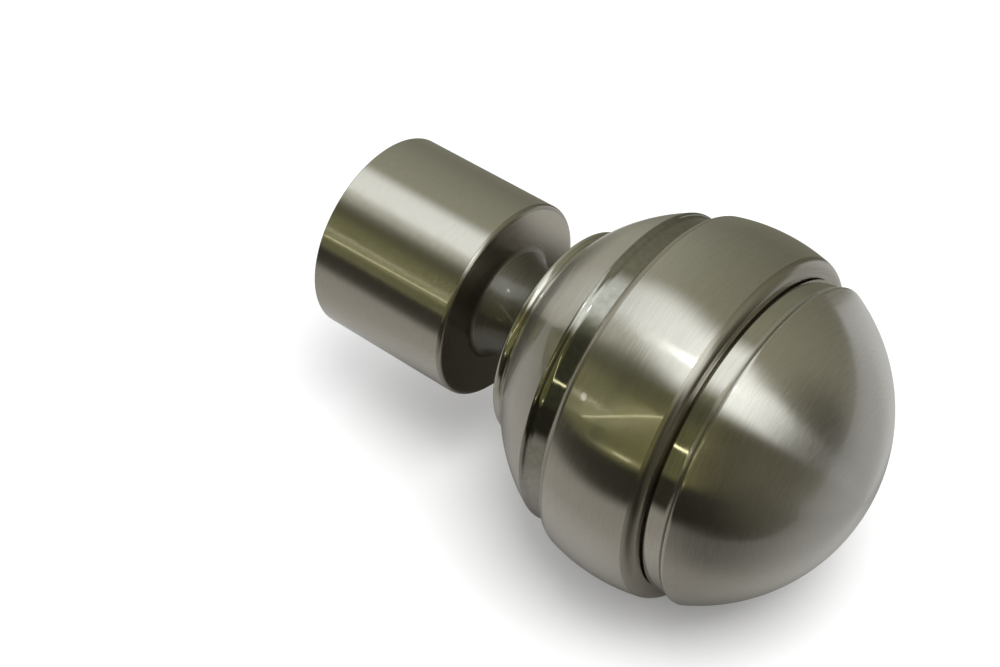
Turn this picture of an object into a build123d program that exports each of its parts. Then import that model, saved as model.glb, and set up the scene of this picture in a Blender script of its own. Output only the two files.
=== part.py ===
from build123d import *
import math
import os

# Ball finial for a 28 mm curtain pole: one turned piece, and a grub screw under its socket.
# X runs along the pole's axis, from the socket's mouth to the ball's crown, and Z is up.
# The origin is the centre of the socket's mouth. Sizes are in millimetres.

# Pole and socket
pole_diameter = 28.0
pole_clearance = 0.2
socket_wall = 2.3
socket_depth = 23.0
socket_end_wall = 2.8
mouth_edge_chamfer = 0.25
mouth_lead_in = 0.3
shoulder_edge_radius = 0.75

# Neck between the socket's shoulder and the ball
neck_length = 10.65
neck_waist_radius = 7.4
neck_root_radius = 9.2
neck_root_fillet = 1.1

# Half-round collar at the back of the ball, and the fine notch in front of it
collar_radius = 17.35
collar_width = 1.8
notch_width = 0.25
notch_depth = 1.0

# Ball, whose rear zone starts one step above the collar
ball_radius = 28.85
rear_zone_step = 0.25
rear_zone_edge_chamfer = 0.15

# Raised middle band, and the groove on each side of it. A groove has a fine quirk at the band's foot
# and rises in a cove to the zone beyond it.
band_half_width = 8.6
band_edge_radius = 2.3
groove_width = 3.8
groove_step = 0.6
groove_cove_radius = 1.4
groove_edge_chamfer = 0.4
quirk_width = 0.6
quirk_depth = 1.0

# Flat-ended grub screw in a tapped hole under the socket
screw_diameter = 4.0
screw_length = 2.5
screw_from_mouth = 9.0
screw_clearance = 0.05
screw_tip_recess = 0.1
screw_edge_chamfer = 0.3
hex_across_flats = 2.0
hex_depth = 1.4
hole_countersink = 0.4

# Worked out from the sizes above
bore_radius = pole_diameter / 2 + pole_clearance
socket_radius = bore_radius + socket_wall
shoulder_x = socket_depth + socket_end_wall
collar_x = shoulder_x + neck_length
collar_front_x = collar_x + collar_width
rear_zone_x = collar_front_x + notch_width
rear_zone_radius = collar_radius + rear_zone_step
ball_x = rear_zone_x + math.sqrt(ball_radius**2 - rear_zone_radius**2)
groove_outer = band_half_width + groove_width
groove_edge_height = math.sqrt(ball_radius**2 - groove_outer**2)
band_edge_height = math.sqrt(ball_radius**2 - band_half_width**2)
groove_floor_radius = groove_edge_height - groove_step
cove_run = math.sqrt(groove_cove_radius**2 - (groove_cove_radius - groove_step) ** 2)


def corner(sketch, x, radius):
    """The corner of the half section at one place along the axis and one radius."""
    at_x = sketch.vertices().filter_by_position(Axis.X, x - 0.001, x + 0.001)
    return at_x.filter_by_position(Axis.Y, radius - 0.001, radius + 0.001)


# The finial's half section, above the axis
with BuildPart() as finial:
    with BuildSketch() as section:
        # Ball, cut off square where its rear zone starts
        with Locations((ball_x, 0)):
            Circle(ball_radius)
        with Locations((rear_zone_x, 0)):
            Rectangle(2 * ball_radius, 2 * ball_radius, align=(Align.MAX, Align.CENTER), mode=Mode.SUBTRACT)
        chamfer(corner(section, rear_zone_x, rear_zone_radius), rear_zone_edge_chamfer)
        # Collar behind the ball, and the core that closes the notch between them
        with Locations((collar_x + collar_width / 2, collar_radius - collar_width / 2)):
            Circle(collar_width / 2)
            Rectangle(collar_width, collar_radius, align=(Align.CENTER, Align.MAX))
        with Locations((collar_x, 0)):
            Rectangle(collar_width + notch_width, collar_radius - notch_depth, align=(Align.MIN, Align.MIN))
        # Groove, cove and quirk on both sides of the middle band, with the band's lip rounded
        for side in (-1, 1):
            with Locations((ball_x + side * (band_half_width + (groove_width - cove_run) / 2), groove_floor_radius)):
                Rectangle(groove_width - cove_run, ball_radius, align=(Align.CENTER, Align.MIN), mode=Mode.SUBTRACT)
            with Locations((ball_x + side * (groove_outer - cove_run), groove_floor_radius + groove_cove_radius)):
                Circle(groove_cove_radius, mode=Mode.SUBTRACT)
            with Locations((ball_x + side * (band_half_width + quirk_width / 2), groove_floor_radius)):
                Rectangle(quirk_width, quirk_depth, align=(Align.CENTER, Align.MAX), mode=Mode.SUBTRACT)
            fillet(corner(section, ball_x + side * band_half_width, band_edge_height), band_edge_radius)
            chamfer(corner(section, ball_x + side * groove_outer, groove_edge_height), groove_edge_chamfer)
        # Neck, hollowed by one arc
        with BuildLine():
            ThreePointArc(
                (shoulder_x, neck_root_radius),
                (shoulder_x + neck_length / 2, neck_waist_radius),
                (collar_x, neck_root_radius),
            )
            Polyline(
                (collar_x, neck_root_radius),
                (collar_x, 0),
                (shoulder_x, 0),
                (shoulder_x, neck_root_radius),
            )
        make_face()
        # Socket, with its edges and the neck's roots rounded
        Rectangle(shoulder_x, socket_radius, align=(Align.MIN, Align.MIN))
        fillet(corner(section, shoulder_x, neck_root_radius), neck_root_fillet)
        fillet(corner(section, collar_x, neck_root_radius), neck_root_fillet)
        fillet(corner(section, shoulder_x, socket_radius), shoulder_edge_radius)
        chamfer(corner(section, 0, socket_radius), mouth_edge_chamfer)
        # Bore for the pole, with a lead-in at its mouth
        Rectangle(socket_depth, bore_radius, align=(Align.MIN, Align.MIN), mode=Mode.SUBTRACT)
        chamfer(corner(section, 0, bore_radius), mouth_lead_in)
        # Nothing is left below the axis
        with Locations((ball_x, 0)):
            Rectangle(2 * ball_radius, ball_radius, align=(Align.CENTER, Align.MAX), mode=Mode.SUBTRACT)
    revolve(axis=Axis.X)
    # Tapped hole for the grub screw, countersunk where it comes out
    with Locations(Plane((screw_from_mouth, 0, -socket_radius), x_dir=(1, 0, 0), z_dir=(0, 0, -1))):
        CounterSinkHole(
            radius=screw_diameter / 2 + screw_clearance,
            counter_sink_radius=screw_diameter / 2 + screw_clearance + hole_countersink,
            depth=2 * socket_wall,
            counter_sink_angle=90,
        )

finial.part.label = "finial"

# Grub screw, pointing up into the socket and ending just short of the bore
screw_tip_z = -(bore_radius + screw_tip_recess)
with BuildPart() as grub_screw:
    with BuildSketch(Plane((screw_from_mouth, 0, screw_tip_z), x_dir=(1, 0, 0), z_dir=(0, 0, -1))):
        Circle(screw_diameter / 2)
    extrude(amount=screw_length)
    chamfer(grub_screw.edges().filter_by(GeomType.CIRCLE), screw_edge_chamfer)
    # Hexagon socket in the outer end
    with BuildSketch(Plane((screw_from_mouth, 0, screw_tip_z - screw_length), x_dir=(1, 0, 0), z_dir=(0, 0, 1))):
        RegularPolygon(hex_across_flats / 2, 6, major_radius=False)
    extrude(amount=hex_depth, mode=Mode.SUBTRACT)

grub_screw.part.label = "grub_screw"

os.makedirs("parts", exist_ok=True)
export_step(finial.part, "parts/finial.step")
export_step(grub_screw.part, "parts/grub_screw.step")
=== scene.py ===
import math

import bpy
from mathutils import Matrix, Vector


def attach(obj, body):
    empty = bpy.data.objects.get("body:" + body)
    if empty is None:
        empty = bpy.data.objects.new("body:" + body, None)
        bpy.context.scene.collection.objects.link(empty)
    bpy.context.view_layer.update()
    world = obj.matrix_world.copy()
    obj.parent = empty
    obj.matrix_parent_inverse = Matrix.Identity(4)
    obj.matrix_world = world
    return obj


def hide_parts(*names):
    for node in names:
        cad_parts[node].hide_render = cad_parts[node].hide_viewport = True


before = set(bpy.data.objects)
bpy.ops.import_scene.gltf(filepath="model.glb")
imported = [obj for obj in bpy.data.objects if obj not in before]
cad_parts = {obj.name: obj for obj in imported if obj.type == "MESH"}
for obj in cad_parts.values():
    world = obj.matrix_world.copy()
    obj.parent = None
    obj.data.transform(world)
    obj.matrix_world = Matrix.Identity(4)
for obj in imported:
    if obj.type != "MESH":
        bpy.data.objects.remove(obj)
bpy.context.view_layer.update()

# Sizes in millimetres, as in the part's source. X runs along the pole's axis.
MM = 0.001
BORE_RADIUS, SOCKET_RADIUS, SOCKET_DEPTH, SHOULDER_X = 14.2, 16.5, 23.0, 25.8
MOUTH_EDGE, MOUTH_LEAD_IN, SHOULDER_EDGE = 0.25, 0.3, 0.75
NECK_ROOT, NECK_WAIST, NECK_FILLET = 9.2, 7.4, 1.1
COLLAR_X, COLLAR_RADIUS, COLLAR_WIDTH = 36.45, 17.35, 1.8
NOTCH_WIDTH, NOTCH_DEPTH, REAR_ZONE_STEP = 0.25, 1.0, 0.25
BALL_RADIUS = 28.85
BAND_HALF, BAND_EDGE, GROOVE_WIDTH, GROOVE_STEP = 8.6, 2.3, 3.8, 0.6
COVE_RADIUS, ZONE_EDGE = 1.4, 0.55
# The quirk is narrower than in the part's source, as its dark line is in the photograph
QUIRK_WIDTH, QUIRK_DEPTH = 0.35, 1.0
REAR_EDGE_RUN, REAR_EDGE_DROP = 0.15, 0.1
HOLE_X, HOLE_RADIUS, HOLE_SINK = 9.0, 2.05, 0.4
HOLE_START, HOLE_PAST = 12.5, 0.5

# Steps of the outline's arcs, and round the axis
MOUTH_STEPS, EDGE_STEPS, LIP_STEPS, BEAD_STEPS, NECK_STEPS = 5, 8, 14, 16, 28
REAR_STEPS, BAND_STEPS, CROWN_STEPS = 16, 28, 44
TURNED_STEPS, HOLE_STEPS = 360, 64
# Distances under which two points are one, and under which a point is on the axis
SAME_POINT, ON_AXIS = 1e-4, 1e-6

COLLAR_FRONT = COLLAR_X + COLLAR_WIDTH
REAR_ZONE_X = COLLAR_FRONT + NOTCH_WIDTH
REAR_ZONE_RADIUS = COLLAR_RADIUS + REAR_ZONE_STEP
BALL_X = REAR_ZONE_X + math.sqrt(BALL_RADIUS**2 - REAR_ZONE_RADIUS**2)
GROOVE_OUTER = BAND_HALF + GROOVE_WIDTH
GROOVE_FLOOR = math.sqrt(BALL_RADIUS**2 - GROOVE_OUTER**2) - GROOVE_STEP

# Camera: its place, and its turn about X and Z. The focal length suits a sensor 36 mm wide.
CAMERA_PLACE = (0.15753, -0.16426, 0.20657)
CAMERA_TILT, CAMERA_TURN = 44.59, 39.07
FOCAL_LENGTH = 68.14

# Soft light: a share from all round, and a lamp overhead where the metal mirrors the window
AMBIENT = 0.9
LAMP_TOWARDS, LAMP_DISTANCE, LAMP_SIZE, LAMP_POWER = (0.26, -0.134, 0.956), 0.7, 0.4, 3.0

# What the metal mirrors: tones of the walls and the window at angles from the pole's axis, in degrees
SIDE_WALL = [
    (18, (0.08, 0.075, 0.055)), (32, (0.125, 0.12, 0.088)), (46, (0.26, 0.25, 0.185)),
    (60, (0.27, 0.26, 0.19)), (90, (0.215, 0.206, 0.15)), (112, (0.26, 0.257, 0.187)),
    (130, (0.36, 0.355, 0.28)), (160, (0.5, 0.49, 0.42)),
]
OLIVE_WALL = [
    (18, (0.14, 0.132, 0.095)), (30, (0.11, 0.101, 0.07)), (42, (0.07, 0.062, 0.042)),
    (52, (0.055, 0.048, 0.028)), (60, (0.21, 0.196, 0.085)), (90, (0.155, 0.149, 0.06)),
    (108, (0.175, 0.17, 0.075)), (112, (0.06, 0.063, 0.036)), (117, (0.05, 0.053, 0.032)),
    (120, (0.2, 0.194, 0.088)), (140, (0.175, 0.168, 0.09)),
]
WINDOW_PANE = [
    (16, (0.04, 0.04, 0.035)), (24, (0.27, 0.27, 0.25)), (34, (0.45, 0.46, 0.44)),
    (48, (0.58, 0.595, 0.575)), (60, (0.62, 0.635, 0.61)), (80, (0.58, 0.595, 0.57)),
    (92, (0.46, 0.47, 0.455)), (110, (0.47, 0.48, 0.46)), (128, (0.4, 0.41, 0.39)),
    (142, (0.3, 0.305, 0.29)), (160, (0.27, 0.275, 0.26)),
]
WINDOW_STRENGTH = 2.4

# Finishes of the finial: the metal's colour and that of its turning marks, its roughness with their spread,
# and the marks' fineness, length and relief. Brushed metal blurs across its marks, and some is lacquered.
# The groove, recess, neck, root and lip colours are darkened below the metal's own: painted shade for the
# dark that the metal mirrors in its hollows and on rounded edges.
FINISHES_AND_PAINTED_SHADES = {
    "satin": dict(name="satin_nickel", colour=(0.665, 0.645, 0.60), worn=(0.60, 0.582, 0.54),
                  roughness=0.22, spread=0.012, fineness=8.0, length=8.0, bump=0.035,
                  brushed=1.0, lacquer=0.9),
    "polished": dict(name="polished_nickel", colour=(0.66, 0.645, 0.6), worn=(0.62, 0.605, 0.56),
                     roughness=0.07, spread=0.015, fineness=2.0, length=6.0, bump=0.12),
    # Painted shade: the rear groove's darker colour dims what its floor mirrors.
    "groove": dict(name="groove_nickel_painted_shade", colour=(0.44, 0.435, 0.40), worn=(0.38, 0.375, 0.34),
                   roughness=0.06, spread=0.015, fineness=0.9, length=24.0, bump=0.1),
    # Painted shade: a darkened colour on the shoulder face, the collar's rear wall and the quirks.
    "recess": dict(name="recess_nickel_painted_shade", colour=(0.45, 0.425, 0.37), worn=(0.40, 0.375, 0.325),
                   roughness=0.22, spread=0.02, fineness=4.0, length=2.0, bump=0.02),
    # Painted shade: a very dark colour on the neck, where it lies in shade between socket and ball.
    "neck": dict(name="neck_nickel_painted_shade", colour=(0.185, 0.175, 0.147), worn=(0.155, 0.147, 0.123),
                 roughness=0.52, spread=0.03, fineness=4.0, length=2.0, bump=0.06,
                 lacquer=0.5, lacquer_blur=0.12),
    # Painted shade: darkened fillets at the neck's roots, to dim the ring they mirror.
    "root": dict(name="root_nickel_painted_shade", colour=(0.27, 0.255, 0.215), worn=(0.23, 0.217, 0.18),
                 roughness=0.4, spread=0.03, fineness=4.0, length=2.0, bump=0.02),
    # Painted shade: a darkened colour on the shoulder's rounded edge and the band's lips, to dim what they
    # mirror.
    "lip": dict(name="lip_nickel_painted_shade", colour=(0.50, 0.475, 0.42), worn=(0.44, 0.418, 0.37),
                roughness=0.22, spread=0.02, fineness=3.0, length=3.0, bump=0.02),
    "bore": dict(name="bore_metal", colour=(0.42, 0.41, 0.38), worn=(0.34, 0.33, 0.31),
                 roughness=0.38, spread=0.06, fineness=4.0, length=2.0, bump=0.4),
}
SCREW_FINISH = dict(name="screw_steel", colour=(0.46, 0.46, 0.45), worn=(0.36, 0.36, 0.35),
                    roughness=0.3, spread=0.06, fineness=5.0, length=3.0, bump=0.3)
RELIEF_DEPTH = 0.00002
LACQUER_IOR = 1.9


def ball_height(x):
    """Radius of the ball's surface at a place along the axis."""
    return math.sqrt(max(BALL_RADIUS**2 - (x - BALL_X) ** 2, 0))


def arc(centre, radius, start, end, steps):
    """Points on an arc, with its angles in degrees from the axis."""
    points = []
    for i in range(steps + 1):
        angle = math.radians(start + (end - start) * i / steps)
        points.append((centre[0] + radius * math.cos(angle), centre[1] + radius * math.sin(angle)))
    return points


def pair(point):
    """A complex number as a pair of numbers."""
    return (point.real, point.imag)


def arc_between(centre, start, end, steps):
    """Points on the shorter arc between two points at the same distance from its centre."""
    middle = complex(*centre)
    a, b = complex(*start) - middle, complex(*end) - middle
    turn = math.atan2((b * a.conjugate()).imag, (b * a.conjugate()).real)
    angles = [turn * i / steps for i in range(steps + 1)]
    return [pair(middle + a * complex(math.cos(angle), math.sin(angle))) for angle in angles]


def rounded(before, corner, after, radius, steps=EDGE_STEPS):
    """Points that round the corner between two straight runs, given by a point on each."""
    a = complex(before[0] - corner[0], before[1] - corner[1])
    b = complex(after[0] - corner[0], after[1] - corner[1])
    a, b = a / abs(a), b / abs(b)
    half = math.acos(max(-1, min(1, (a * b.conjugate()).real))) / 2
    middle = (a + b) / abs(a + b)
    centre = complex(*corner) + middle * radius / math.sin(half)
    start = complex(*corner) + a * radius / math.tan(half)
    end = complex(*corner) + b * radius / math.tan(half)
    return arc_between(pair(centre), pair(start), pair(end), steps)


def ball_run(x_from, x_to, steps):
    """Points on the ball between two places along the axis."""
    start = math.degrees(math.atan2(ball_height(x_from), x_from - BALL_X))
    end = math.degrees(math.atan2(ball_height(x_to), x_to - BALL_X))
    return arc((BALL_X, 0), BALL_RADIUS, start, end, steps)


def neck_run(steps):
    """The wall's end over the neck, the neck's hollow arc, and the centre of its rear root's fillet."""
    half = (COLLAR_X - SHOULDER_X) / 2
    sag = NECK_ROOT - NECK_WAIST
    radius = (half**2 + sag**2) / (2 * sag)
    centre = (SHOULDER_X + half, NECK_WAIST + radius)
    # A root fillet touches its wall and the arc, so its centre lies one fillet off the wall
    reach = half - NECK_FILLET
    rise = math.sqrt((radius - NECK_FILLET) ** 2 - reach**2)
    root = (SHOULDER_X + NECK_FILLET, centre[1] - rise)
    angle = math.degrees(math.atan2(root[1] - centre[1], root[0] - centre[0]))
    return [(SHOULDER_X, root[1])], arc(centre, radius, angle, -180 - angle, steps), root


def crossing(first, first_radius, second, second_radius):
    """The point nearer the axis of the two where two circles cross."""
    gap = complex(*second) - complex(*first)
    along = (abs(gap) ** 2 + first_radius**2 - second_radius**2) / (2 * abs(gap))
    across = math.sqrt(first_radius**2 - along**2)
    both = [complex(*first) + gap / abs(gap) * complex(along, side * across) for side in (-1, 1)]
    return pair(min(both, key=lambda spot: spot.imag))


def pulled(centre, point, radius):
    """The point at a stated distance from a centre, on the line through another point."""
    way = complex(*point) - complex(*centre)
    return pair(complex(*centre) + way / abs(way) * radius)


def held(points, margin=0.06):
    """The same run with a point close to each end, so that rounded edges don't shade the surface between."""
    def near(end, inner):
        share = min(0.4, margin / math.dist(end, inner))
        return (end[0] + (inner[0] - end[0]) * share, end[1] + (inner[1] - end[1]) * share)
    return [points[0], near(points[0], points[1])] + points[1:-1] + [near(points[-1], points[-2]), points[-1]]


def rear_groove():
    """Outlines of the groove behind the band: its rise from the zone, floor, quirk, and the band's lip."""
    outer, inner = BALL_X - GROOVE_OUTER, BALL_X - BAND_HALF
    quirk = inner - QUIRK_WIDTH
    ball, cove_height = (BALL_X, 0), COVE_RADIUS - GROOVE_STEP
    cove = (outer + math.sqrt(COVE_RADIUS**2 - cove_height**2), GROOVE_FLOOR + COVE_RADIUS)
    edge = crossing(ball, BALL_RADIUS - ZONE_EDGE, cove, COVE_RADIUS + ZONE_EDGE)
    on_ball, on_cove = pulled(ball, edge, BALL_RADIUS), pulled(cove, edge, COVE_RADIUS)
    rise = arc_between(edge, on_ball, on_cove, EDGE_STEPS)
    rise += arc_between(cove, on_cove, (cove[0], GROOVE_FLOOR), EDGE_STEPS)
    floor = held([(cove[0], GROOVE_FLOOR), (quirk, GROOVE_FLOOR)])
    foot = [(quirk, GROOVE_FLOOR), (quirk, GROOVE_FLOOR - QUIRK_DEPTH), (inner, GROOVE_FLOOR - QUIRK_DEPTH)]
    lip_radius = BALL_RADIUS - BAND_EDGE
    lip_x = inner + BAND_EDGE
    lip = (lip_x, math.sqrt(lip_radius**2 - (lip_x - BALL_X) ** 2))
    lip_arc = arc_between(lip, (inner, lip[1]), pulled(ball, lip, BALL_RADIUS), LIP_STEPS)
    return rise, floor, foot, [foot[-1]] + lip_arc


def mirrored_about(points, twice_x):
    """The same outline on the other side of a place along the axis, given twice, in the opposite order."""
    return [(twice_x - x, r) for x, r in reversed(points)]


def mirrored(points):
    """The same outline on the other side of the ball's centre, in the opposite order."""
    return mirrored_about(points, 2 * BALL_X)


def outline():
    """Runs of the finial's half section from the bore's end to the crown, each with its finish, some darkened
    as painted shade.
    """
    wall, neck, root = neck_run(NECK_STEPS)
    root_fillet = arc_between(root, wall[0], neck[0], EDGE_STEPS)
    rise, floor, quirk, lip = rear_groove()
    zone_start, zone_end = REAR_ZONE_X + REAR_EDGE_RUN, rise[0][0]
    rear_edge = (REAR_ZONE_X, REAR_ZONE_RADIUS - REAR_EDGE_DROP)
    band_start = lip[-1][0]
    near_crown, crown = BALL_X + BALL_RADIUS * 0.9999, [(BALL_X + BALL_RADIUS, 0)]
    return [
        ("bore", [(SOCKET_DEPTH, 0), (SOCKET_DEPTH, BORE_RADIUS), (MOUTH_LEAD_IN, BORE_RADIUS)]),
        ("bore", [(MOUTH_LEAD_IN, BORE_RADIUS), (0, BORE_RADIUS + MOUTH_LEAD_IN)]),
        ("bore", [(0, BORE_RADIUS + MOUTH_LEAD_IN), (0, SOCKET_RADIUS - MOUTH_EDGE)]),
        ("satin", rounded((0, 0), (0, SOCKET_RADIUS), (5, SOCKET_RADIUS), MOUTH_EDGE, MOUTH_STEPS)),
        ("satin", held([(MOUTH_EDGE, SOCKET_RADIUS), (SHOULDER_X - SHOULDER_EDGE, SOCKET_RADIUS)])),
        ("lip", rounded((12, SOCKET_RADIUS), (SHOULDER_X, SOCKET_RADIUS), (SHOULDER_X, 12), SHOULDER_EDGE)),
        ("recess", held([(SHOULDER_X, SOCKET_RADIUS - SHOULDER_EDGE)] + wall)),
        ("root", root_fillet),
        ("neck", neck),
        ("root", mirrored_about(root_fillet, SHOULDER_X + COLLAR_X)),
        ("recess", held([(COLLAR_X, wall[0][1]), (COLLAR_X, COLLAR_RADIUS - COLLAR_WIDTH / 2)])),
        ("polished", arc((COLLAR_X + COLLAR_WIDTH / 2, COLLAR_RADIUS - COLLAR_WIDTH / 2),
                         COLLAR_WIDTH / 2, 180, 0, BEAD_STEPS)),
        ("polished", [(COLLAR_FRONT, COLLAR_RADIUS - COLLAR_WIDTH / 2),
                      (COLLAR_FRONT, COLLAR_RADIUS - NOTCH_DEPTH),
                      (REAR_ZONE_X, COLLAR_RADIUS - NOTCH_DEPTH), rear_edge]),
        ("satin", [rear_edge] + held(ball_run(zone_start, zone_end, REAR_STEPS))),
        ("groove", rise + floor),
        ("recess", quirk),
        ("lip", lip),
        ("satin", held(ball_run(band_start, 2 * BALL_X - band_start, BAND_STEPS))),
        ("lip", mirrored(lip)),
        ("recess", mirrored(quirk)),
        ("polished", mirrored(floor)),
        ("satin", mirrored(rise)),
        ("satin", held(ball_run(2 * BALL_X - zone_end, near_crown, CROWN_STEPS)) + crown),
    ]


def turned(name, runs, finishes):
    """A closed mesh turned about X from runs of (x, radius) points, with one material slot a finish, the
    painted shade ones included.
    """
    vertices, faces, slots = [], [], []
    previous, last_point = None, None
    for finish, points in runs:
        for point in points:
            if last_point and math.dist(point, last_point) < SAME_POINT:
                continue
            ring = []
            steps = 1 if point[1] < ON_AXIS else TURNED_STEPS
            for k in range(steps):
                angle = 2 * math.pi * k / TURNED_STEPS
                ring.append(len(vertices))
                x, radius = point[0] * MM, point[1] * MM
                vertices.append((x, radius * math.cos(angle), radius * math.sin(angle)))
            if previous:
                for k in range(TURNED_STEPS):
                    n = (k + 1) % TURNED_STEPS
                    a, b = previous[k % len(previous)], previous[n % len(previous)]
                    c, d = ring[k % len(ring)], ring[n % len(ring)]
                    corners = [a, c] + ([d] if d != c else []) + ([b] if b != a else [])
                    faces.append(corners)
                    slots.append(finishes.index(finish))
            previous, last_point = ring, point
    mesh = bpy.data.meshes.new(name)
    mesh.from_pydata(vertices, [], faces)
    mesh.polygons.foreach_set("material_index", slots)
    mesh.polygons.foreach_set("use_smooth", [True] * len(faces))
    mesh.update()
    piece = bpy.data.objects.new(name, mesh)
    bpy.context.scene.collection.objects.link(piece)
    return piece


def hole_cutter():
    """The shape of the grub screw's countersunk hole, from inside the bore to outside the socket."""
    rim = SOCKET_RADIUS - math.sqrt(SOCKET_RADIUS**2 - (HOLE_RADIUS + HOLE_SINK) ** 2)
    stations = [
        (HOLE_START, HOLE_RADIUS),
        (SOCKET_RADIUS - HOLE_SINK - rim, HOLE_RADIUS),
        (SOCKET_RADIUS + HOLE_PAST, HOLE_RADIUS + HOLE_SINK + rim + HOLE_PAST),
    ]
    steps, vertices, faces = HOLE_STEPS, [], []
    for depth, radius in stations:
        for k in range(steps):
            angle = 2 * math.pi * k / steps
            x, y = HOLE_X + radius * math.cos(angle), radius * math.sin(angle)
            vertices.append((x * MM, y * MM, -depth * MM))
    for row in range(len(stations) - 1):
        for k in range(steps):
            n = (k + 1) % steps
            faces.append((row * steps + k, row * steps + n, (row + 1) * steps + n, (row + 1) * steps + k))
    faces.append(tuple(reversed(range(steps))))
    faces.append(tuple(range((len(stations) - 1) * steps, len(stations) * steps)))
    mesh = bpy.data.meshes.new("hole_cutter")
    mesh.from_pydata(vertices, [], faces)
    mesh.update()
    cutter = bpy.data.objects.new("hole_cutter", mesh)
    bpy.context.scene.collection.objects.link(cutter)
    return cutter


def cut_hole(piece):
    """Cuts the grub screw's hole into the socket and keeps the result as the piece's mesh."""
    cutter = hole_cutter()
    modifier = piece.modifiers.new("hole", "BOOLEAN")
    modifier.operation, modifier.solver, modifier.object = "DIFFERENCE", "EXACT", cutter
    graph = bpy.context.evaluated_depsgraph_get()
    mesh = bpy.data.meshes.new_from_object(piece.evaluated_get(graph))
    piece.modifiers.clear()
    piece.data = mesh
    bpy.data.objects.remove(cutter)
    mesh.set_sharp_from_angle(angle=math.radians(35))


class Nodes:
    """Short calls for building a node tree."""

    def __init__(self, tree):
        self.tree = tree
        tree.nodes.clear()

    def add(self, kind, **settings):
        """A new node of a kind, with its settings."""
        node = self.tree.nodes.new(kind)
        for key, value in settings.items():
            setattr(node, key, value)
        return node

    def put(self, socket, value):
        """Links a socket to another node's output, or sets its number."""
        if isinstance(value, bpy.types.NodeSocket):
            self.tree.links.new(value, socket)
        else:
            socket.default_value = value

    def math(self, operation, first, second=0.0, third=0.0):
        """A sum on up to three numbers."""
        node = self.add("ShaderNodeMath", operation=operation)
        for socket, value in zip(node.inputs, (first, second, third)):
            self.put(socket, value)
        return node.outputs[0]

    def between(self, value, low, high, start=0.0, end=1.0, smooth=True):
        """How far a value is from low to high, from start to end."""
        kind = "SMOOTHSTEP" if smooth else "LINEAR"
        node = self.add("ShaderNodeMapRange", interpolation_type=kind)
        names = ("Value", "From Min", "From Max", "To Min", "To Max")
        for name, number in zip(names, (value, low, high, start, end)):
            self.put(node.inputs[name], number)
        return node.outputs[0]

    def mix_number(self, share, first, second):
        """A share of the way from one number to another."""
        node = self.add("ShaderNodeMix", data_type="FLOAT")
        for socket, value in zip(node.inputs[:1] + node.inputs[2:4], (share, first, second)):
            self.put(socket, value)
        return node.outputs[0]

    def mix(self, share, first, second):
        """A share of the way from one colour to another."""
        node = self.add("ShaderNodeMix", data_type="RGBA")
        self.put(node.inputs[0], share)
        self.put(node.inputs[6], first)
        self.put(node.inputs[7], second)
        return node.outputs[2]

    def scaled(self, colour, factor):
        """A colour times a number."""
        node = self.add("ShaderNodeVectorMath", operation="SCALE")
        self.put(node.inputs[0], colour)
        self.put(node.inputs["Scale"], factor)
        return node.outputs[0]

    def distance(self, place, point):
        """Distance of a place from a point, in metres."""
        node = self.add("ShaderNodeVectorMath", operation="DISTANCE")
        self.put(node.inputs[0], place)
        node.inputs[1].default_value = point
        return node.outputs["Value"]

    def ramp(self, value, stops):
        """Colours at stated angles from the axis, in degrees."""
        node = self.add("ShaderNodeValToRGB")
        self.put(node.inputs[0], value)
        bar = node.color_ramp
        while len(bar.elements) < len(stops):
            bar.elements.new(0.5)
        for element, (angle, colour) in zip(bar.elements, stops):
            element.position, element.color = angle / 180, (*colour, 1)
        return node.outputs[0]


def turned_place(nodes):
    """The shaded point's place along the axis and distance from it, in millimetres, and angle round it."""
    spot = nodes.add("ShaderNodeTexCoord")
    split = nodes.add("ShaderNodeSeparateXYZ")
    nodes.put(split.inputs[0], spot.outputs["Object"])
    x, y, z = split.outputs
    squares = nodes.math("ADD", nodes.math("MULTIPLY", y, y), nodes.math("MULTIPLY", z, z))
    radius = nodes.math("SQRT", squares)
    angle = nodes.math("ARCTAN2", y, z)
    return nodes.math("MULTIPLY", x, 1000), nodes.math("MULTIPLY", radius, 1000), angle


def streaks(nodes, fineness, length, detail=2.0):
    """Turning marks: noise that runs round the axis, fine across the marks and long along them."""
    along, radius, angle = turned_place(nodes)
    vector = nodes.add("ShaderNodeCombineXYZ")
    nodes.put(vector.inputs[0], nodes.math("MULTIPLY", along, fineness))
    nodes.put(vector.inputs[1], nodes.math("MULTIPLY", radius, fineness))
    nodes.put(vector.inputs[2], nodes.math("MULTIPLY", angle, length))
    noise = nodes.add("ShaderNodeTexNoise")
    nodes.put(noise.inputs["Vector"], vector.outputs[0])
    nodes.put(noise.inputs["Scale"], 1.0)
    nodes.put(noise.inputs["Detail"], detail)
    return noise.outputs["Fac"]


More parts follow.
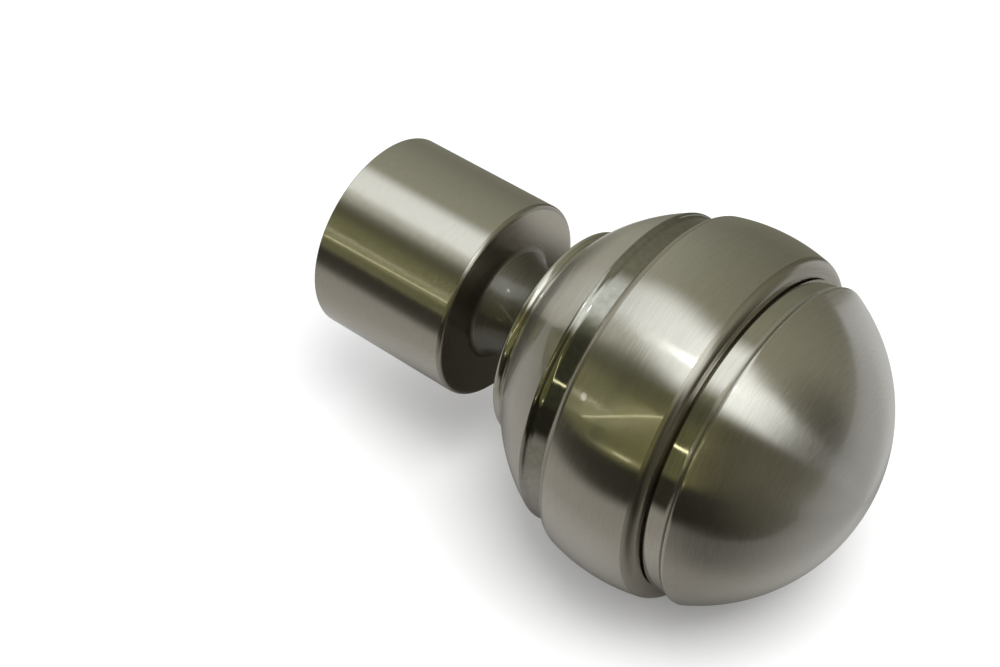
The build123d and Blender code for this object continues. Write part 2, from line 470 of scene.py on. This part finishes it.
def metal(name, colour, worn, roughness, spread, fineness, length, bump,
          brushed=0.0, lacquer=0.0, lacquer_blur=0.04):
    """Metal whose colour and roughness vary along its turning marks. Brushed metal blurs across them."""
    material = bpy.data.materials.new(name)
    material.use_nodes = True
    nodes = Nodes(material.node_tree)
    shader = nodes.add("ShaderNodeBsdfPrincipled")
    shader.inputs["Metallic"].default_value = 1.0
    marks = streaks(nodes, fineness, length)
    tint = nodes.mix(nodes.between(marks, 0.3, 0.7), (*worn, 1), (*colour, 1))
    nodes.put(shader.inputs["Base Color"], tint)
    rough = nodes.between(marks, 0.3, 0.7, roughness - spread, roughness + spread)
    nodes.put(shader.inputs["Roughness"], rough)
    relief = nodes.add("ShaderNodeBump")
    relief.inputs["Strength"].default_value = bump
    relief.inputs["Distance"].default_value = RELIEF_DEPTH
    nodes.put(relief.inputs["Height"], marks)
    nodes.put(shader.inputs["Normal"], relief.outputs[0])
    if brushed:
        shader.inputs["Anisotropic"].default_value = brushed
        shader.inputs["Anisotropic Rotation"].default_value = 0.25
        tangent = nodes.add("ShaderNodeTangent", direction_type="RADIAL", axis="X")
        nodes.put(shader.inputs["Tangent"], tangent.outputs[0])
    if lacquer:
        shader.inputs["Coat Weight"].default_value = lacquer
        shader.inputs["Coat Roughness"].default_value = lacquer_blur
        shader.inputs["Coat IOR"].default_value = LACQUER_IOR
    output = nodes.add("ShaderNodeOutputMaterial")
    nodes.put(output.inputs[0], shader.outputs[0])
    return material


def direction(nodes, output):
    """A direction's parts along X and Y, and its angles round the pole's axis and from it, in degrees."""
    split = nodes.add("ShaderNodeSeparateXYZ")
    nodes.put(split.inputs[0], output)
    x, y, z = split.outputs
    around = nodes.math("DEGREES", nodes.math("ARCTAN2", nodes.math("MULTIPLY", y, -1.0), z))
    along = nodes.math("DEGREES", nodes.math("ARCCOSINE", x))
    return x, y, around, along


def card(nodes, place, colour, around, along, inner, outer, tone):
    """Adds a soft round card, at two angles in degrees, to what the metal mirrors."""
    turn, lean = math.radians(around), math.radians(along)
    towards = (math.cos(lean), -math.sin(turn) * math.sin(lean), math.cos(turn) * math.sin(lean))
    nearness = nodes.add("ShaderNodeVectorMath", operation="DOT_PRODUCT")
    nodes.put(nearness.inputs[0], place)
    nearness.inputs[1].default_value = towards
    edges = math.cos(math.radians(outer)), math.cos(math.radians(inner))
    return nodes.mix(nodes.between(nearness.outputs["Value"], *edges), colour, (*tone, 1))


def above(nodes, value, start):
    """How far a value lies above a start, or nothing below it."""
    return nodes.math("MAXIMUM", nodes.math("SUBTRACT", value, start), 0.0)


def below(nodes, value, start):
    """How far a value lies below a start, or nothing above it."""
    return nodes.math("MAXIMUM", nodes.math("SUBTRACT", start, value), 0.0)


def table_edges(nodes, along):
    """Angles round the axis at which the table starts, behind the finial and on the camera's side."""
    near, far = below(nodes, along, 78), nodes.math("MINIMUM", above(nodes, along, 78), 27.0)
    behind = nodes.math("MULTIPLY_ADD", nodes.math("MULTIPLY", near, near), -0.009, -84.0)
    behind = nodes.math("MULTIPLY_ADD", far, -1.6, behind)
    beside = nodes.math("MULTIPLY_ADD", nodes.math("MULTIPLY", near, near), 0.03, 110.5)
    return behind, beside


def table_light(nodes, x, y):
    """The table the finial lies on, lighter at the back left and dim on the camera's side in front."""
    front = nodes.between(y, -0.6, 0.5, 0.10, 0.42)
    back = nodes.math("MULTIPLY_ADD", y, 0.14, 0.43)
    tone = nodes.mix_number(nodes.between(x, 0.1, 0.5), back, front)
    tint = nodes.mix(nodes.between(y, -0.6, 0.6), (1.0, 0.95, 0.84, 1), (1.0, 1.0, 0.97, 1))
    return nodes.scaled(tint, tone)


def window_share(nodes, around, along):
    """A tall soft window overhead with bowed sides, by how much of it lies in a direction."""
    back = above(nodes, along, 88)
    off_middle = nodes.math("ABSOLUTE", nodes.math("SUBTRACT", along, 49))
    bow = nodes.between(off_middle, 10, 3, -3.0, 1.0)
    left_edge = nodes.math("MULTIPLY_ADD", below(nodes, along, 46), -0.4, bow)
    left_edge = nodes.math("MULTIPLY_ADD", back, -0.38, left_edge)
    right_edge = nodes.math("MULTIPLY_ADD", below(nodes, along, 85), -0.08, 33.0)
    right_edge = nodes.math("MULTIPLY_ADD", back, -0.5, right_edge)
    from_left = nodes.between(nodes.math("SUBTRACT", around, left_edge), -8, 8)
    from_right = nodes.between(nodes.math("SUBTRACT", around, right_edge), 7, -7)
    return nodes.math("MULTIPLY", from_left, from_right)


def bright_line(nodes, colour, off_line, along, ends, tone):
    """Adds a fine bright line, by the angle off it, between two angles from the axis."""
    width = nodes.between(nodes.math("ABSOLUTE", off_line), 1.1, 0.4)
    starts, stops = nodes.between(along, ends[0], ends[0] + 3), nodes.between(along, ends[1], ends[1] - 3)
    length = nodes.math("MULTIPLY", starts, stops)
    return nodes.mix(nodes.math("MULTIPLY", width, length), colour, (*tone, 1))


def walls(nodes, part, around, along):
    """The side wall, dimmer towards the back left, and the olive wall on the camera's side of the window."""
    turned_down = nodes.between(around, -90, -15, 0.68, 1.22, smooth=False)
    level = nodes.mix_number(nodes.between(along, 118, 142), turned_down, 1.0)
    side_wall = nodes.scaled(nodes.ramp(part, SIDE_WALL), level)
    return nodes.mix(nodes.between(around, 20, 42), side_wall, nodes.ramp(part, OLIVE_WALL))


def small_lights(nodes, place, colour, around, along):
    """Adds a curved bright line, a straight one and a small lamp on the olive wall."""
    beyond = nodes.math("SUBTRACT", along, 84)
    slant = nodes.math("MULTIPLY_ADD", beyond, 0.4, 52)
    curve = nodes.math("MULTIPLY_ADD", nodes.math("MULTIPLY", beyond, beyond), 0.005, slant)
    off_curve, off_straight = nodes.math("SUBTRACT", around, curve), nodes.math("SUBTRACT", around, 83)
    colour = bright_line(nodes, colour, off_curve, along, (82, 128), (2.4, 2.28, 1.4))
    colour = bright_line(nodes, colour, off_straight, along, (90, 103), (2.0, 1.9, 1.15))
    return card(nodes, place, colour, 68, 131, 0.5, 2.5, (3.0, 2.9, 2.5))


def shades(nodes, colour, around, along):
    """Adds the shade beside the window, and a dark flag on the camera's side."""
    shade = nodes.math("MULTIPLY", nodes.between(around, 54, 42), nodes.between(around, 24, 36))
    shade = nodes.math("MULTIPLY", shade, nodes.between(along, 70, 90))
    colour = nodes.mix(nodes.math("MULTIPLY", shade, 0.6), colour, (0.06, 0.058, 0.04, 1))
    flag = nodes.mix(nodes.between(along, 28, 50), (0.09, 0.083, 0.06, 1), (0.02, 0.019, 0.013, 1))
    flag = nodes.mix(nodes.between(along, 70, 95), flag, (0.032, 0.03, 0.02, 1))
    return nodes.mix(nodes.between(around, 84, 89), colour, flag)


def table(nodes, place, colour, x, y, around, along):
    """Adds the table, with a dark patch low at the back left."""
    behind, beside = table_edges(nodes, along)
    on_left = nodes.between(nodes.math("SUBTRACT", around, behind), 2, -4)
    on_right = nodes.between(nodes.math("SUBTRACT", around, beside), -5, 5)
    colour = nodes.mix(nodes.math("MAXIMUM", on_left, on_right), colour, table_light(nodes, x, y))
    return card(nodes, place, colour, -136, 147, 8, 22, (0.10, 0.095, 0.07))


def studio_light(nodes):
    """What the metal mirrors, by the angles round the pole's axis and from it."""
    place = nodes.add("ShaderNodeTexCoord").outputs["Generated"]
    x, y, around, along = direction(nodes, place)
    part = nodes.math("DIVIDE", along, 180.0)
    colour = walls(nodes, part, around, along)
    colour = small_lights(nodes, place, colour, around, along)
    colour = shades(nodes, colour, around, along)
    colour = table(nodes, place, colour, x, y, around, along)
    # A dim wall ahead, and the window with its hot core
    colour = nodes.mix(nodes.between(along, 26, 16), colour, (0.11, 0.102, 0.07, 1))
    colour = card(nodes, place, colour, -82, 19, 6, 18, (0.06, 0.056, 0.04))
    pane = nodes.scaled(nodes.ramp(part, WINDOW_PANE), WINDOW_STRENGTH)
    colour = nodes.mix(window_share(nodes, around, along), colour, pane)
    return card(nodes, place, colour, 17, 85, 0.8, 3.2, (12.0, 12.0, 11.8))


def build_world(scene):
    """White to the camera and for soft light, and the studio's walls and window in what the metal mirrors."""
    world = bpy.data.worlds.new("studio")
    world.use_nodes = True
    nodes = Nodes(world.node_tree)
    path = nodes.add("ShaderNodeLightPath")
    mirrored_light = nodes.add("ShaderNodeBackground")
    nodes.put(mirrored_light.inputs["Color"], studio_light(nodes))
    white = nodes.add("ShaderNodeBackground")
    white.inputs["Color"].default_value = (1, 1, 1, 1)
    nodes.put(white.inputs["Strength"], nodes.mix_number(path.outputs["Is Camera Ray"], AMBIENT, 1.0))
    choice = nodes.add("ShaderNodeMixShader")
    nodes.put(choice.inputs[0], path.outputs["Is Glossy Ray"])
    nodes.put(choice.inputs[1], white.outputs[0])
    nodes.put(choice.inputs[2], mirrored_light.outputs[0])
    output = nodes.add("ShaderNodeOutputWorld")
    nodes.put(output.inputs[0], choice.outputs[0])
    scene.world = world


def floor_in_metal(nodes, place, level):
    """The floor as the metal mirrors it: a grey table with painted shadow, dim ahead, dark behind and under
    the neck, and painted light, pale, beyond that.
    """
    across = nodes.add("ShaderNodeSeparateXYZ")
    nodes.put(across.inputs[0], place)
    x, y = across.outputs[0], across.outputs[1]
    # Painted shadow under the front of the ball, on the camera's side.
    ahead = nodes.math("MULTIPLY", nodes.between(x, 0.055, 0.085), nodes.between(y, 0.010, -0.035))
    tone = nodes.mix(ahead, (0.33, 0.32, 0.30, 1), (0.165, 0.157, 0.137, 1))
    # Painted shadow behind the finial.
    tone = nodes.mix(nodes.between(y, 0.016, 0.030), tone, (0.09, 0.083, 0.068, 1))
    # Painted light: the table paler beyond the finial's shade.
    tone = nodes.mix(nodes.between(y, 0.036, 0.046), tone, (0.78, 0.78, 0.76, 1))
    # Painted shadow under the neck.
    painted_shadow_under_neck = nodes.between(nodes.distance(place, (0.04, 0.004, level)), 0.024, 0.012)
    return nodes.mix(painted_shadow_under_neck, tone, (0.14, 0.13, 0.11, 1))


def build_floor():
    """A plain pale floor under the ball, with its shadow. The metal mirrors it only near the finial, with
    painted shadow and painted light.
    """
    half, level = 1.5, -BALL_RADIUS * MM
    corners = [(-half, -half, level), (half, -half, level), (half, half, level), (-half, half, level)]
    mesh = bpy.data.meshes.new("floor")
    mesh.from_pydata(corners, [], [(0, 1, 2, 3)])
    floor = bpy.data.objects.new("floor", mesh)
    bpy.context.scene.collection.objects.link(floor)
    material = bpy.data.materials.new("floor_white")
    material.use_nodes = True
    nodes = Nodes(material.node_tree)
    in_metal = nodes.add("ShaderNodeLightPath").outputs["Is Glossy Ray"]
    place = nodes.add("ShaderNodeTexCoord").outputs["Object"]
    paint = nodes.add("ShaderNodeBsdfDiffuse")
    # Pale to the camera; to the metal, a grey table with painted shadow and painted light.
    tone = nodes.mix(in_metal, (0.94, 0.94, 0.94, 1), floor_in_metal(nodes, place, level))
    nodes.put(paint.inputs["Color"], tone)
    clear = nodes.add("ShaderNodeBsdfTransparent")
    far = nodes.between(nodes.distance(place, (0.045, 0, level)), 0.035, 0.065)
    choice = nodes.add("ShaderNodeMixShader")
    nodes.put(choice.inputs[0], nodes.math("MULTIPLY", far, in_metal))
    nodes.put(choice.inputs[1], paint.outputs[0])
    nodes.put(choice.inputs[2], clear.outputs[0])
    output = nodes.add("ShaderNodeOutputMaterial")
    nodes.put(output.inputs[0], choice.outputs[0])
    mesh.materials.append(material)


def build_lamp(scene):
    """A large soft lamp for the shadow on the floor. The metal mirrors the window in its place."""
    light = bpy.data.lights.new("soft_lamp", "AREA")
    light.shape, light.size, light.energy = "SQUARE", LAMP_SIZE, LAMP_POWER
    lamp = bpy.data.objects.new("soft_lamp", light)
    towards = Vector(LAMP_TOWARDS)
    lamp.location = Vector((BALL_X * MM, 0, 0)) + towards * LAMP_DISTANCE
    lamp.rotation_euler = towards.to_track_quat("Z", "Y").to_euler()
    lamp.visible_glossy = False
    scene.collection.objects.link(lamp)


def build_camera(scene):
    """The photograph's viewpoint."""
    camera = bpy.data.cameras.new("camera")
    camera.sensor_width, camera.lens = 36, FOCAL_LENGTH
    camera.clip_start, camera.clip_end = 0.01, 10
    holder = bpy.data.objects.new("camera", camera)
    holder.location = CAMERA_PLACE
    holder.rotation_euler = (math.radians(CAMERA_TILT), 0, math.radians(CAMERA_TURN))
    scene.collection.objects.link(holder)
    scene.camera = holder


def build_finial():
    """The turned finial, with a material for each of its finishes, some darkened as painted shade."""
    piece = turned("finial_turned", outline(), list(FINISHES_AND_PAINTED_SHADES))
    for finish in FINISHES_AND_PAINTED_SHADES.values():
        piece.data.materials.append(metal(**finish))
    cut_hole(piece)
    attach(piece, "root")
    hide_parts("finial")


def dress_screw():
    """The grub screw keeps its CAD mesh and gets a plain plated steel."""
    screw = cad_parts["grub_screw"]
    screw.data.materials.clear()
    screw.data.materials.append(metal(**SCREW_FINISH))


scene = bpy.context.scene
scene.view_settings.view_transform = "Standard"
build_finial()
dress_screw()
build_floor()
build_lamp(scene)
build_world(scene)
build_camera(scene)
